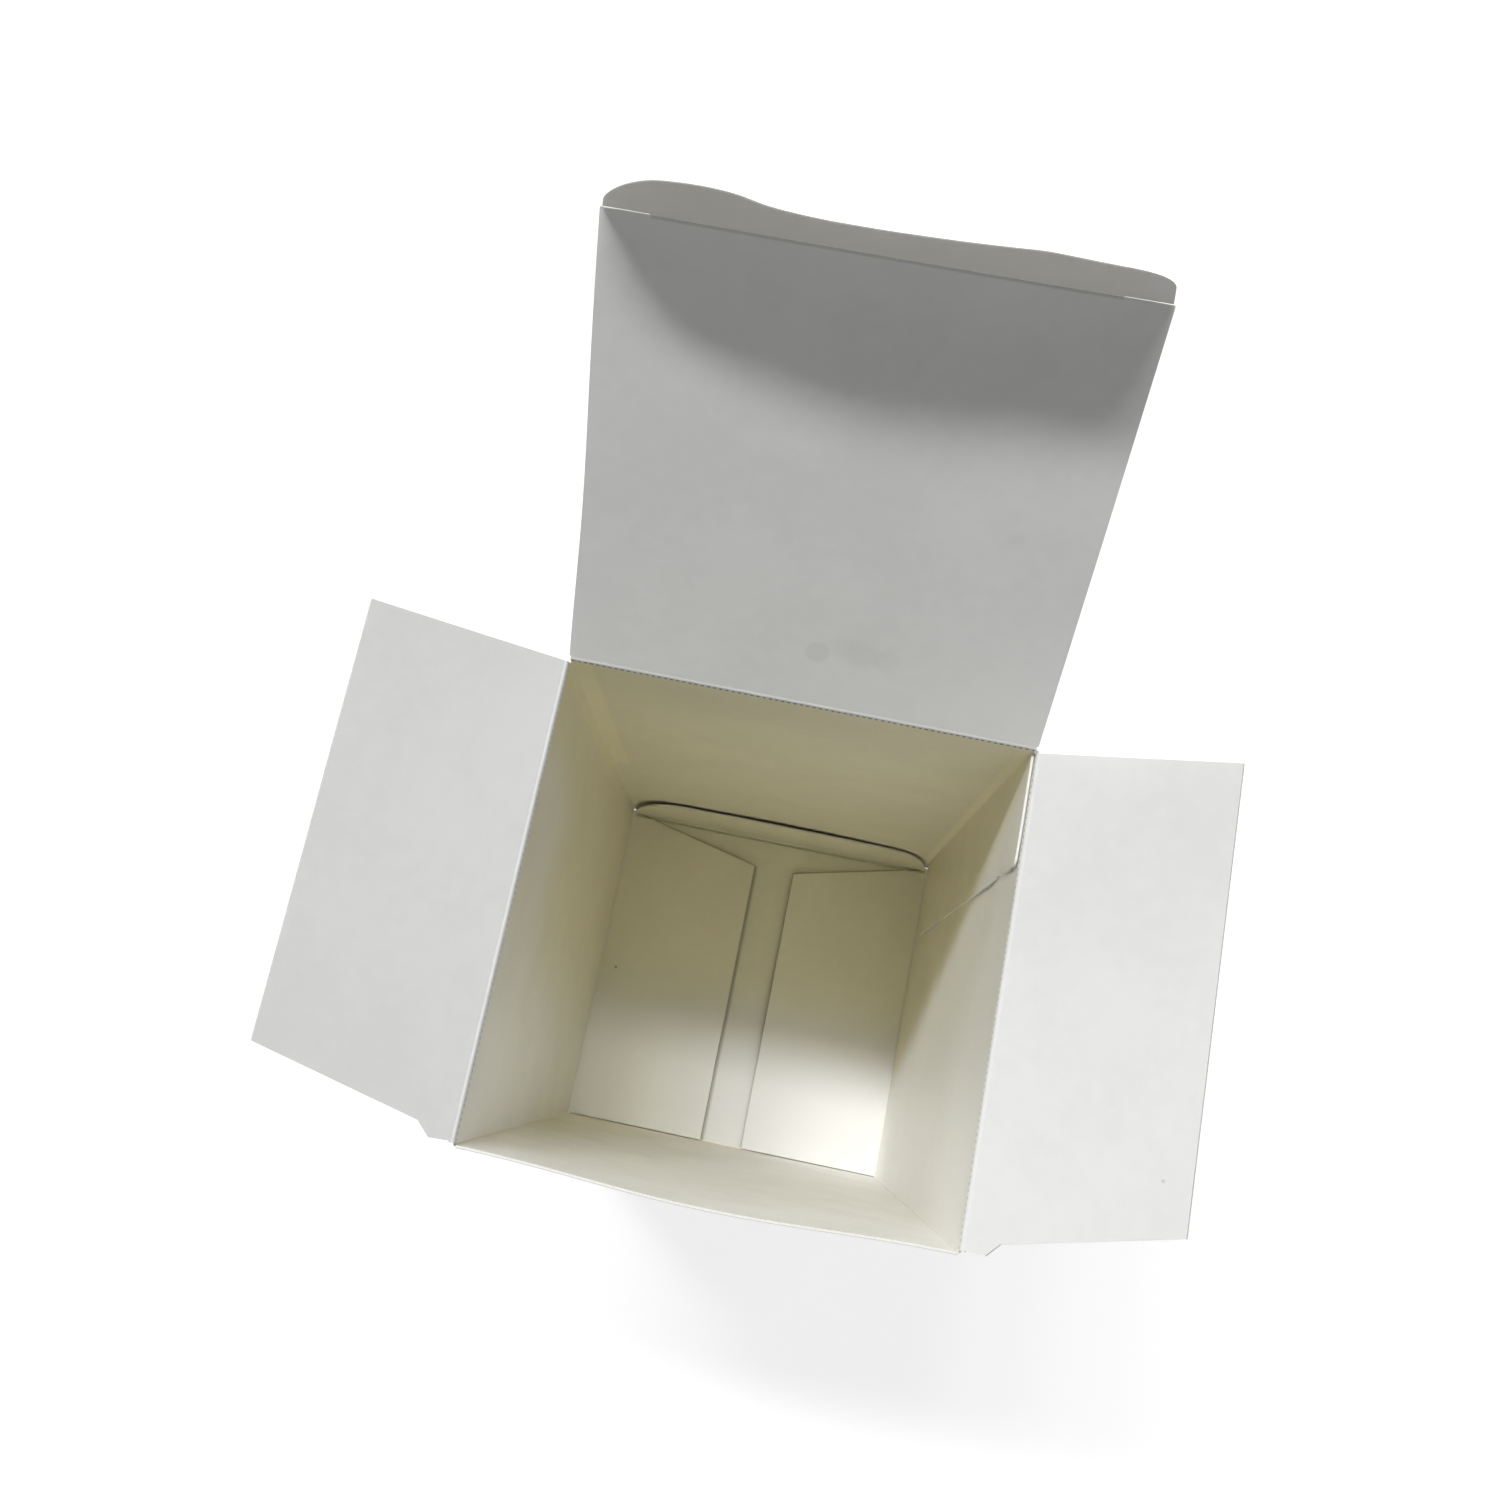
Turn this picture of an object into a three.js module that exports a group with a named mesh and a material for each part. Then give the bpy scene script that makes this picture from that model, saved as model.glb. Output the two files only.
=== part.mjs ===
// White paperboard carton for a perfume bottle: a reverse-tuck box whose lid and dust flaps stand open,
// with its bottom tucked shut. Millimetres, +Z up. The origin is the centre of the underside.
// The front wall faces -Y, and the lid is hinged on the back wall.

import * as THREE from 'three';

// Board
const boardThickness = 0.4;
const cornerBendRadius = 0.6;

// Sleeve, over its outer faces
const cartonWidth = 70;
const cartonDepth = 70;
const cartonHeight = 140;
const frontEdgeDrop = 0.4;
const frontWallBow = 1.25;

// Creases: a fold turns about a line on the face of the board, and the pressed bead lies inside the fold
const beadRadius = 0.2;
const creaseSetback = 0.6;
const dustCreaseDrop = 0.7;

// Glue flap, folded in from the back wall and stuck behind the right wall
const glueFlapWidth = 16.5;
const glueFlapTopGap = 0.2;
const glueFlapFootGap = 6;
const glueFlapFootTaper = 3;
const glueFlapCornerRadius = 1;
const glueThickness = 0.1;
const glueMargin = 2.5;

// Lid, bottom panel and their tucks
const panelSideGap = 0.4;
const panelCornerRadius = 1.2;
const lidTuckHeight = 12;
const bottomTuckHeight = 20;
const tuckSideGap = 0.7;
const tuckSideTaper = 1.6;
const lidTuckCornerRadius = 7;
const bottomTuckCornerRadius = 11;
const tuckWallGap = 0.45;
const tuckPassingGap = 0.35;
const slitLength = 6.2;
const slitWidth = 1.4;
const slitCornerRadius = 0.4;

// Dust flaps: straight on the hinge side of the lid, shouldered, notched and tapered on the tuck side,
// and apart by the gap when both are closed
const dustFlapGap = 10;
const dustStraightGap = 0.6;
const dustShoulderGap = 0.8;
const dustShoulderLength = 3.6;
const dustNotchDepth = 1.9;
const dustTaper = 6.2;
const dustCornerRadius = 1;
const dustSweepGap = 0.35;

// How the open end stands: leans are from upright
const lidLeanDegrees = 38.2;
const tuckFoldDegrees = 54;
const leftDustLeanDegrees = 61;
const rightDustLeanDegrees = 54.5;

// Facets
const arcSegments = 10;
const beadSides = 12;
const bowColumns = 22;
const bowRows = 14;

// Finishes
const boardInside = new THREE.MeshStandardMaterial({ color: '#efeee8', roughness: 0.8, metalness: 0 });
const boardOutside = new THREE.MeshStandardMaterial({ color: '#f4f4f2', roughness: 0.55, metalness: 0 });
const creasedBoard = new THREE.MeshStandardMaterial({ color: '#e2e1da', roughness: 0.85, metalness: 0 });
const driedGlue = new THREE.MeshStandardMaterial({ color: '#e6e0c8', roughness: 0.5, metalness: 0 });

const quarterTurn = Math.PI / 2;
const radians = THREE.MathUtils.degToRad;

const carton = new THREE.Group();
carton.name = 'perfume_carton';

// An outline from corners [x, y, radius], with each corner rounded by a true arc
function roundedOutline(corners) {
  const outline = new THREE.Shape();
  corners.forEach(([x, y, radius], index) => {
    const corner = new THREE.Vector2(x, y);
    const before = new THREE.Vector2(...corners.at(index - 1));
    const after = new THREE.Vector2(...corners.at((index + 1) % corners.length));
    const arriving = corner.clone().sub(before).normalize();
    const leaving = after.sub(corner).normalize();
    const turn = Math.atan2(arriving.cross(leaving), arriving.dot(leaving));
    if (radius === 0 || turn === 0) {
      if (index === 0) outline.moveTo(x, y);
      else outline.lineTo(x, y);
      return;
    }
    const side = Math.sign(turn);
    const start = corner.clone().addScaledVector(arriving, -radius * Math.tan(Math.abs(turn) / 2));
    const centre = start.clone().add(new THREE.Vector2(-arriving.y, arriving.x).multiplyScalar(side * radius));
    const startAngle = Math.atan2(start.y - centre.y, start.x - centre.x);
    if (index === 0) outline.moveTo(start.x, start.y);
    outline.absarc(centre.x, centre.y, radius, startAngle, startAngle + turn, side < 0);
  });
  outline.closePath();
  return outline;
}

// A flat piece of board, its outline in XY and its thickness upwards from Z = 0
function boardGeometry(outline, thickness = boardThickness) {
  return new THREE.ExtrudeGeometry(outline, {
    depth: thickness,
    bevelEnabled: false,
    curveSegments: arcSegments,
  });
}

function addMesh(parent, name, geometry, material) {
  const mesh = new THREE.Mesh(geometry, material);
  mesh.name = name;
  parent.add(mesh);
  return mesh;
}

// The pressed bead of a crease, along X, centred at a place beside the fold line
function addBead(parent, name, length, y, z) {
  const geometry = new THREE.CylinderGeometry(beadRadius, beadRadius, length, beadSides);
  geometry.rotateZ(quarterTurn);
  const bead = addMesh(parent, name, geometry, creasedBoard);
  bead.position.set(0, y, z);
  return bead;
}

// A fold line along local X, turned about Z to face its side, with a leaf that lifts about the fold
function addFold(parent, position, turn, lift) {
  const fold = new THREE.Group();
  fold.position.set(...position);
  fold.rotation.z = turn;
  const leaf = new THREE.Group();
  leaf.rotation.x = lift;
  fold.add(leaf);
  parent.add(fold);
  return { fold, leaf };
}

const halfWidth = cartonWidth / 2;
const halfDepth = cartonDepth / 2;
const dustCreaseHeight = cartonHeight - dustCreaseDrop;
const footDustCrease = dustCreaseDrop + boardThickness;
const wallWidth = cartonWidth - 2 * cornerBendRadius;
const wallDepth = cartonDepth - 2 * cornerBendRadius;
const sideWallFoot = footDustCrease + creaseSetback;
const sideWallTop = dustCreaseHeight - creaseSetback;

// Sleeve: four walls and the rounded bends between them
const glueFlapOuterX = halfWidth - boardThickness - glueThickness;
const glueBendX = glueFlapOuterX - cornerBendRadius;

function addWall(name, width, depth, foot, top, x, y) {
  const wall = addMesh(carton, name, new THREE.BoxGeometry(width, depth, top - foot), boardOutside);
  wall.position.set(x, y, (foot + top) / 2);
  return wall;
}

const wallInset = boardThickness / 2;
const backWallLeft = -wallWidth / 2;
addWall('back_wall', glueBendX - backWallLeft, boardThickness, 0, cartonHeight - creaseSetback,
  (glueBendX + backWallLeft) / 2, halfDepth - wallInset);
addWall('left_wall', boardThickness, wallDepth, sideWallFoot, sideWallTop, wallInset - halfWidth, 0);
const rightWallDepth = halfDepth + wallDepth / 2;
addWall('right_wall', boardThickness, rightWallDepth, sideWallFoot, sideWallTop,
  halfWidth - wallInset, halfDepth - rightWallDepth / 2);

// The front wall bulges outwards towards its free top edge
const frontWallFoot = creaseSetback;
const frontWallTop = cartonHeight - frontEdgeDrop;
const frontWallHeight = frontWallTop - frontWallFoot;
const frontWallGeometry = new THREE.BoxGeometry(
  wallWidth, boardThickness, frontWallHeight, bowColumns, 1, bowRows);
const frontVertices = frontWallGeometry.attributes.position;
for (let index = 0; index < frontVertices.count; index += 1) {
  const across = Math.cos((frontVertices.getX(index) / wallWidth) * Math.PI) ** 2;
  const upwards = ((frontVertices.getZ(index) + frontWallHeight / 2) / frontWallHeight) ** 2;
  frontVertices.setY(index, frontVertices.getY(index) - frontWallBow * across * upwards);
}
const frontWall = addMesh(carton, 'front_wall', frontWallGeometry, boardOutside);
frontWall.position.set(0, wallInset - halfDepth, (frontWallFoot + frontWallTop) / 2);

function addCornerBend(name, x, y, startAngle) {
  const outline = new THREE.Shape();
  const endAngle = startAngle + quarterTurn;
  outline.absarc(0, 0, cornerBendRadius, startAngle, endAngle, false);
  outline.absarc(0, 0, cornerBendRadius - boardThickness, endAngle, startAngle, true);
  outline.closePath();
  const bend = addMesh(carton, name, boardGeometry(outline, sideWallTop - sideWallFoot), creasedBoard);
  bend.position.set(x, y, sideWallFoot);
}

addCornerBend('back_left_corner', -wallWidth / 2, wallDepth / 2, quarterTurn);
addCornerBend('front_left_corner', -wallWidth / 2, -wallDepth / 2, 2 * quarterTurn);
addCornerBend('front_right_corner', wallWidth / 2, -wallDepth / 2, 3 * quarterTurn);
addCornerBend('back_right_corner', glueBendX, wallDepth / 2, 0);

// Glue flap and the glue that holds it, drawn with X forwards from the corner and Y up
function addInsideRightWall(name, outline, thickness, outerX, material) {
  const geometry = boardGeometry(outline, thickness);
  geometry.rotateX(quarterTurn);
  geometry.rotateZ(-quarterTurn);
  const mesh = addMesh(carton, name, geometry, material);
  mesh.position.set(outerX, wallDepth / 2, 0);
}

const glueFlapTop = sideWallTop - glueFlapTopGap;
addInsideRightWall('glue_flap', roundedOutline([
  [0, glueFlapFootGap, 0],
  [glueFlapWidth, glueFlapFootGap + glueFlapFootTaper, glueFlapCornerRadius],
  [glueFlapWidth, glueFlapTop, glueFlapCornerRadius],
  [0, glueFlapTop, 0],
]), boardThickness, glueFlapOuterX, boardInside);
addInsideRightWall('glue_line', roundedOutline([
  [glueMargin, glueFlapFootGap + glueFlapFootTaper + glueMargin, glueFlapCornerRadius],
  [glueFlapWidth - glueMargin, glueFlapFootGap + glueFlapFootTaper + glueMargin, glueFlapCornerRadius],
  [glueFlapWidth - glueMargin, glueFlapTop - glueMargin, glueFlapCornerRadius],
  [glueMargin, glueFlapTop - glueMargin, glueFlapCornerRadius],
]), glueThickness, glueFlapOuterX + glueThickness, driedGlue);

// Closing panels: the lid and the bottom, from their hinge crease to their tuck crease
const panelLength = cartonDepth - boardThickness - tuckWallGap;
const panelHalf = halfWidth - panelSideGap;
const tuckHalf = halfWidth - tuckSideGap;
const tuckCreaseHalf = panelHalf - slitLength;

function panelOutline(creaseEnd) {
  return roundedOutline([
    [-panelHalf, creaseSetback, 0],
    [panelHalf, creaseSetback, 0],
    [panelHalf, panelLength, panelCornerRadius],
    [tuckCreaseHalf, panelLength, slitCornerRadius],
    [tuckCreaseHalf, creaseEnd, 0],
    [-tuckCreaseHalf, creaseEnd, 0],
    [-tuckCreaseHalf, panelLength, slitCornerRadius],
    [-panelHalf, panelLength, panelCornerRadius],
  ]);
}

// A tuck: hinged between the slits, with a free ear at each end and large rounded corners
function tuckOutline(height, cornerRadius) {
  return roundedOutline([
    [-tuckCreaseHalf, creaseSetback, 0],
    [tuckCreaseHalf, creaseSetback, 0],
    [tuckCreaseHalf, slitWidth, 0],
    [tuckHalf, slitWidth, slitCornerRadius],
    [tuckHalf - tuckSideTaper, height, cornerRadius],
    [tuckSideTaper - tuckHalf, height, cornerRadius],
    [-tuckHalf, slitWidth, slitCornerRadius],
    [-tuckCreaseHalf, slitWidth, 0],
  ]);
}

const wallCreaseLength = wallWidth;
const lid = addFold(carton, [0, halfDepth, cartonHeight], 0, quarterTurn - radians(lidLeanDegrees));
addBead(lid.fold, 'lid_crease', wallCreaseLength, -beadRadius, -beadRadius);
addMesh(lid.leaf, 'lid_panel', boardGeometry(panelOutline(panelLength - creaseSetback)), boardInside);

const lidTuck = addFold(lid.leaf, [0, panelLength, 0], 0, radians(tuckFoldDegrees));
addBead(lidTuck.fold, 'lid_tuck_crease', 2 * tuckCreaseHalf, -beadRadius, beadRadius);
addMesh(lidTuck.leaf, 'lid_tuck', boardGeometry(tuckOutline(lidTuckHeight, lidTuckCornerRadius)),
  boardInside);

// The bottom tuck leans in just enough to swing out past the back wall's foot with its panel
const wallReach = cartonDepth - boardThickness;
const swingRise = wallReach - Math.sqrt(wallReach ** 2 - bottomTuckHeight ** 2);
const bottomTuckLean = Math.atan((swingRise - tuckWallGap + tuckPassingGap) / bottomTuckHeight);

const bottom = addFold(carton, [0, -halfDepth, 0], 0, 0);
addBead(bottom.fold, 'bottom_crease', wallCreaseLength, beadRadius, beadRadius);
const bottomCreaseEnd = panelLength - boardThickness - creaseSetback;
addMesh(bottom.leaf, 'bottom_panel', boardGeometry(panelOutline(bottomCreaseEnd)), boardInside);

const bottomTuckFold = [0, panelLength - boardThickness, boardThickness];
const bottomTuck = addFold(bottom.leaf, bottomTuckFold, 0, quarterTurn + bottomTuckLean);
addBead(bottomTuck.fold, 'bottom_tuck_crease', 2 * tuckCreaseHalf, beadRadius, -beadRadius);
const bottomTuckPanel = addMesh(bottomTuck.leaf, 'bottom_tuck',
  boardGeometry(tuckOutline(bottomTuckHeight - boardThickness, bottomTuckCornerRadius)), boardInside);
bottomTuckPanel.position.z = -boardThickness;

const dustFlapLength = (cartonWidth - dustFlapGap) / 2;

// Dust flaps: side is 1 where the tuck's side lies along local +X, and -1 where it lies along -X
function dustOutline(side, straightEdge, shoulderEdge) {
  const notchEdge = shoulderEdge - dustNotchDepth;
  return roundedOutline([
    [-side * straightEdge, creaseSetback, 0],
    [side * shoulderEdge, creaseSetback, 0],
    [side * shoulderEdge, dustShoulderLength, slitCornerRadius],
    [side * notchEdge, dustShoulderLength + dustNotchDepth, slitCornerRadius],
    [side * (notchEdge - dustTaper), dustFlapLength, dustCornerRadius],
    [-side * straightEdge, dustFlapLength, dustCornerRadius],
  ]);
}

const dustStraightEdge = halfDepth - dustStraightGap;
const dustShoulderEdge = halfDepth - dustShoulderGap;
const sideCreaseLength = wallDepth;

function addTopDustFlap(name, x, turn, side, leanDegrees) {
  const flap = addFold(carton, [x, 0, dustCreaseHeight], turn, quarterTurn - radians(leanDegrees));
  addBead(flap.fold, `${name}_crease`, sideCreaseLength, -beadRadius, -beadRadius);
  addMesh(flap.leaf, name, boardGeometry(dustOutline(side, dustStraightEdge, dustShoulderEdge)), boardInside);
}

addTopDustFlap('left_dust_flap', -halfWidth, quarterTurn, -1, leftDustLeanDegrees);
addTopDustFlap('right_dust_flap', halfWidth, -quarterTurn, 1, rightDustLeanDegrees);

// The bottom dust flaps stop short of the arc that the bottom tuck's inner face sweeps
const sweptEdge = panelLength * Math.cos(bottomTuckLean) - boardThickness - dustSweepGap - halfDepth;

function addBottomDustFlap(name, x, turn, side) {
  const flap = addFold(carton, [x, 0, footDustCrease], turn, 0);
  addBead(flap.fold, `${name}_crease`, sideCreaseLength, -beadRadius, -beadRadius);
  const outline = dustOutline(side, dustStraightEdge, sweptEdge);
  const panel = addMesh(flap.leaf, name, boardGeometry(outline), boardInside);
  panel.position.z = -boardThickness;
}

addBottomDustFlap('bottom_left_dust_flap', boardThickness - halfWidth, -quarterTurn, -1);
addBottomDustFlap('bottom_right_dust_flap', halfWidth - boardThickness, quarterTurn, 1);

export default carton;
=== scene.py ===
import math
import bpy
from mathutils import Matrix, Vector, noise


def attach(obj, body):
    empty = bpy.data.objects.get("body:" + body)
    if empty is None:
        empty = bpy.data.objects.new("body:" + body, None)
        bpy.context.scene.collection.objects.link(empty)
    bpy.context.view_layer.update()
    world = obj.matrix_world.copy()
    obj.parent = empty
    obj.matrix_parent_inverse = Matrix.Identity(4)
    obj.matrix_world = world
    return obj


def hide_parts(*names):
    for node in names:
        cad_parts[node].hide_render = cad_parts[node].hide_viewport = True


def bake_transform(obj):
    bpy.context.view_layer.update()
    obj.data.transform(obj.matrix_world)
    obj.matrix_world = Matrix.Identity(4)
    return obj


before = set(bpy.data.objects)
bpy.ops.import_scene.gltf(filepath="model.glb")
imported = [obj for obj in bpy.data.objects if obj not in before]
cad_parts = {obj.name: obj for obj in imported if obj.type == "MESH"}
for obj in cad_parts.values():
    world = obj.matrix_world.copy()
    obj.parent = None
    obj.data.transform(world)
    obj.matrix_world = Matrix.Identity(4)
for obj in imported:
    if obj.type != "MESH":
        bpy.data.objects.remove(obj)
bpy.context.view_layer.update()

mm = 0.001

# ------------------------------------------------------------ Camera, floor and light
# The open carton stands on a plain white table and is seen from almost straight above, a little
# in front of its middle and turned by 11 degrees. Light falls from behind and above, through a
# long window with its middle to the left, and a white room fills the shadows a little.
bpy.ops.object.select_all(action="DESELECT")
bpy.ops.object.camera_add(
    location=(1.79265 * mm, -16.14041 * mm, 359.76907 * mm),
    rotation=(math.radians(14.77127), math.radians(0.11846), math.radians(11.38966)),
)
camera = bpy.context.object
camera.data.sensor_width = 36
camera.data.lens = 37.2185
camera.data.shift_x = 0.00573
camera.data.shift_y = -0.06482
camera.data.clip_start = 5 * mm
bpy.context.scene.camera = camera

daylight = (0.985, 0.995, 1.0)
for light_name, toward_light, energy, spread in (
    ("window_1", (-0.46, 0.38, 1.0), 0.77, 6),
    ("window_2", (-0.34, 0.36, 1.0), 0.67, 6),
    ("window_3", (-0.22, 0.35, 1.0), 0.50, 6),
    ("window_4", (-0.10, 0.35, 1.0), 0.54, 6),
    ("window_5", (0.02, 0.35, 1.0), 0.50, 6),
    ("window_foot", (-1.5, 1.6, 1.0), 0.60, 30),
    ("far_window", (0.9, 1.0, 1.0), 0.17, 30),
    ("room_front", (0.2, -0.8, 1.0), 0.10, 60),
):
    bpy.ops.object.light_add(type="SUN", location=toward_light)
    lamp = bpy.context.object
    lamp.name = light_name
    lamp.rotation_euler = Vector(toward_light).to_track_quat("Z", "Y").to_euler()
    lamp.data.energy = energy
    lamp.data.angle = math.radians(spread)
    lamp.data.color = daylight


class Wire:
    """A value in a material, so that sums on it can be written plainly."""

    def __init__(self, finish, socket):
        self.finish = finish
        self.socket = socket

    def sum(self, operation, first, second):
        return self.finish.add("ShaderNodeMath", {"operation": operation}, {0: first, 1: second})

    def __add__(self, other):
        return self.sum("ADD", self, other)

    def __radd__(self, other):
        return self.sum("ADD", other, self)

    def __sub__(self, other):
        return self.sum("SUBTRACT", self, other)

    def __rsub__(self, other):
        return self.sum("SUBTRACT", other, self)

    def __mul__(self, other):
        return self.sum("MULTIPLY", self, other)

    def __rmul__(self, other):
        return self.sum("MULTIPLY", other, self)


class Finish:
    """The nodes of one material, or of the room, and the one way in which they are added."""

    def __init__(self, name, room=None):
        self.owner = room or bpy.data.materials.new(name)
        self.owner.use_nodes = True
        self.tree = self.owner.node_tree
        self.tree.nodes.clear()

    def add(self, kind, settings=None, sockets=None, out=0):
        """One node. What comes back is the output named by out, or a list of those in a tuple."""
        node = self.tree.nodes.new(kind)
        for name, value in (settings or {}).items():
            setattr(node, name, value)
        for name, value in (sockets or {}).items():
            if isinstance(value, Wire):
                self.tree.links.new(value.socket, node.inputs[name])
            else:
                node.inputs[name].default_value = value
        if isinstance(out, tuple):
            return [Wire(self, node.outputs[each]) for each in out]
        return Wire(self, node.outputs[out]) if node.outputs else None

    def step(self, value, low, high):
        """0 below low, 1 above high, and a soft step between them."""
        return self.add(
            "ShaderNodeMapRange",
            {"interpolation_type": "SMOOTHSTEP"},
            {"Value": value, "From Min": low, "From Max": high},
        )

    def mixed(self, share, first, second):
        """A colour that goes from first to second as share goes from 0 to 1."""
        return self.add(
            "ShaderNodeMix", {"data_type": "RGBA"}, {0: share, 6: first, 7: second}, out=2
        )

    def place(self):
        """The point on the piece, in metres, where the piece stands at rest."""
        return self.add("ShaderNodeTexCoord", out="Object")

    def axes(self, place):
        """That point's x, y and z in millimetres."""
        metres = self.add("ShaderNodeSeparateXYZ", sockets={0: place}, out=(0, 1, 2))
        return [each * 1000.0 for each in metres]

    def noise(self, place, size, detail=2.0, rough=0.5):
        """Clouds of about this size in millimetres, from 0 to 1."""
        return self.add(
            "ShaderNodeTexNoise",
            sockets={"Vector": place, "Scale": 1000.0 / size, "Detail": detail, "Roughness": rough},
        )

    def bumps(self, height, strength, depth):
        """The relief that is too fine for the mesh, with its depth in millimetres."""
        return self.add(
            "ShaderNodeBump",
            sockets={"Strength": strength, "Distance": depth * mm, "Height": height},
            out="Normal",
        )

    def shine(self, colour, rough, normal):
        """The surface itself, joined to the material's output."""
        surface = self.add(
            "ShaderNodeBsdfPrincipled",
            sockets={"Base Color": colour, "Roughness": rough, "Normal": normal},
        )
        self.add("ShaderNodeOutputMaterial", sockets={"Surface": surface})
        return self.owner

    def shown(self):
        """1 where this is seen, directly, mirrored or through glass, and 0 where it gives light."""
        seen, mirrored, through = self.add(
            "ShaderNodeLightPath", out=("Is Camera Ray", "Is Glossy Ray", "Is Transmission Ray")
        )
        return self.add(
            "ShaderNodeMath", {"operation": "MINIMUM"}, {0: seen + mirrored + through, 1: 1.0}
        )


# Where it is seen, the table is half pale paper and half white glow, so it shows white and keeps
# the carton's shadow. The carton is lit by the paper alone.
glow_share = 0.5
table = Finish("white_table")
paper = table.add("ShaderNodeBsdfDiffuse", sockets={"Color": (0.60, 0.60, 0.60, 1)})
bright = table.add("ShaderNodeEmission", sockets={"Color": (1, 1, 1, 1), "Strength": 1.6})
table_top = table.add(
    "ShaderNodeMixShader", sockets={0: table.shown() * glow_share, 1: paper, 2: bright}
)
table.add("ShaderNodeOutputMaterial", sockets={"Surface": table_top})
bpy.ops.mesh.primitive_plane_add(size=6, location=(0, 0, -0.05 * mm))
floor = bpy.context.object
floor.name = "white_table"
floor.data.materials.append(table.owner)

# The room is seen as white, and gives the carton a ninth of that as light.
room_light = 0.11
white_room = bpy.data.worlds.new("white_room")
room = Finish("white_room", white_room)
level = room.add(
    "ShaderNodeMapRange", sockets={"Value": room.shown(), "To Min": room_light, "To Max": 1.0}
)
glow = room.add("ShaderNodeBackground", sockets={"Color": (1, 1, 1, 1), "Strength": level})
room.add("ShaderNodeOutputWorld", sockets={"Surface": glow})
bpy.context.scene.world = white_room

# ------------------------------------------------------------ Sleeve: back, left and right walls
# Three of the four walls of the sleeve: white board 0.4 mm thick, coated outside and plain pulp
# inside, cut from one sheet and folded at the corners. The right wall is glued over the flap that
# follows the back wall, so the back wall's flat part ends half a millimetre sooner at its right.
board = 0.4
half_width = 35
flat_half = 34.4  # from the middle of a wall to where its corner bends begin
seam_half = 33.9  # the same, beside the glued seam
side_foot, side_top = 1.7, 138.7  # of the side walls, between the creases of their flaps
# The inner pulp in three tones. The cream is its own colour, made yellower as painted light for the
# warm light bounced inside the sleeve. The shade tone is a shaded copy, painted shade, and the pale
# tone a lit copy, painted light where the light falls.
inside_cream = (0.90, 0.845, 0.615, 1)
inside_shade = (0.865, 0.81, 0.585, 1)
inside_painted_light = (0.985, 0.975, 0.935, 1)
outside_white = (0.75, 0.75, 0.742, 1)


def toned(colour, share):
    """The same colour, darker or paler by a share."""
    return tuple(c * share for c in colour[:3]) + (1,)


def spot(finish, place, centre, radius, soft):
    """1 within a round spot, fading to 0 at its radius. Its centre and radius are in mm."""
    away = finish.add(
        "ShaderNodeVectorMath",
        {"operation": "DISTANCE"},
        {0: place, 1: tuple(c * mm for c in centre)},
        out="Value",
    )
    return 1.0 - finish.step(away * 1000.0, radius * (1.0 - soft), radius)


def pulp(name, colour, marks=(), band=None, rough=0.46, mottle=0.0):
    """The board's inner face: clouded pulp with short fibres, faint smudges and specks. band tints
    a part of it, and mottle is how strongly darker clouds show on it. A smudge or speck in marks is
    its centre, radius, softness, tint and strength."""
    finish = Finish(name)
    place = finish.place()
    cloud = finish.noise(place, 22.0, 4.0, 0.6)
    fibre = finish.noise(place, 0.55, 3.0, 0.7)
    fleck = finish.noise(place, 2.2, 2.0)
    clouded = finish.step(cloud * 0.75 + fleck * 0.25, 0.36, 0.64)
    face = finish.mixed(clouded, toned(colour, 0.97), toned(colour, 1.02))
    face = finish.mixed(finish.step(fibre, 0.62, 0.82) * 0.35, face, toned(colour, 0.95))
    if band:
        face = band(finish, place, face)
    if mottle:
        patch = finish.noise(place, 12.0, 5.0, 0.62) * 0.7 + fibre * 0.3
        face = finish.mixed(finish.step(patch, 0.40, 0.62) * mottle, face, (0.60, 0.56, 0.42, 1))
    for centre, radius, soft, tint, strength in marks:
        face = finish.mixed(spot(finish, place, centre, radius, soft) * strength, face, tint)
    relief = finish.bumps(fibre * 0.7 + fleck * 0.6, strength=0.4, depth=0.02)
    return finish.shine(face, rough + fibre * 0.06, relief)


def coated(name, colour):
    """The board's outer face: clay coated and pressed smooth, a little rubbed in small patches."""
    finish = Finish(name)
    place = finish.place()
    cloud = finish.noise(place, 30.0, 3.0)
    rub = finish.noise(place, 3.0, 4.0, 0.65)
    face = finish.mixed(cloud, toned(colour, 0.975), colour)
    face = finish.mixed(finish.step(rub, 0.62, 0.80) * 0.25, face, (0.71, 0.71, 0.695, 1))
    relief = finish.bumps(finish.noise(place, 1.4, 2.0), strength=0.35, depth=0.02)
    return finish.shine(face, 0.58 + rub * 0.14, relief)


def cut_edge(name, colour):
    """The edge that the die cut: layers of pulp, darker along the outer ply."""
    finish = Finish(name)
    layer = finish.noise(finish.place(), 0.18, 3.0, 0.7)
    outward = finish.add("ShaderNodeAttribute", {"attribute_name": "ply"}, out="Fac")
    face = finish.mixed(finish.step(layer, 0.35, 0.7), toned(colour, 0.86), colour)
    outer_ply_dark = finish.step(outward + layer * 0.2, 0.72, 0.95)
    face = finish.mixed(outer_ply_dark * 0.6, face, toned(colour, 0.42))
    return finish.shine(face, 0.85, finish.bumps(layer, strength=0.7, depth=0.05))


def placing(corner, across, away):
    """Where a flat piece goes, in millimetres: x runs across it, y away from its crease, and its
    inner face looks along z."""
    across, away = Vector(across).normalized(), Vector(away).normalized()
    turn = Matrix((across, away, across.cross(away))).transposed().to_4x4()
    return Matrix.Translation(Vector(corner) * mm) @ turn @ Matrix.Scale(mm, 4)


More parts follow.
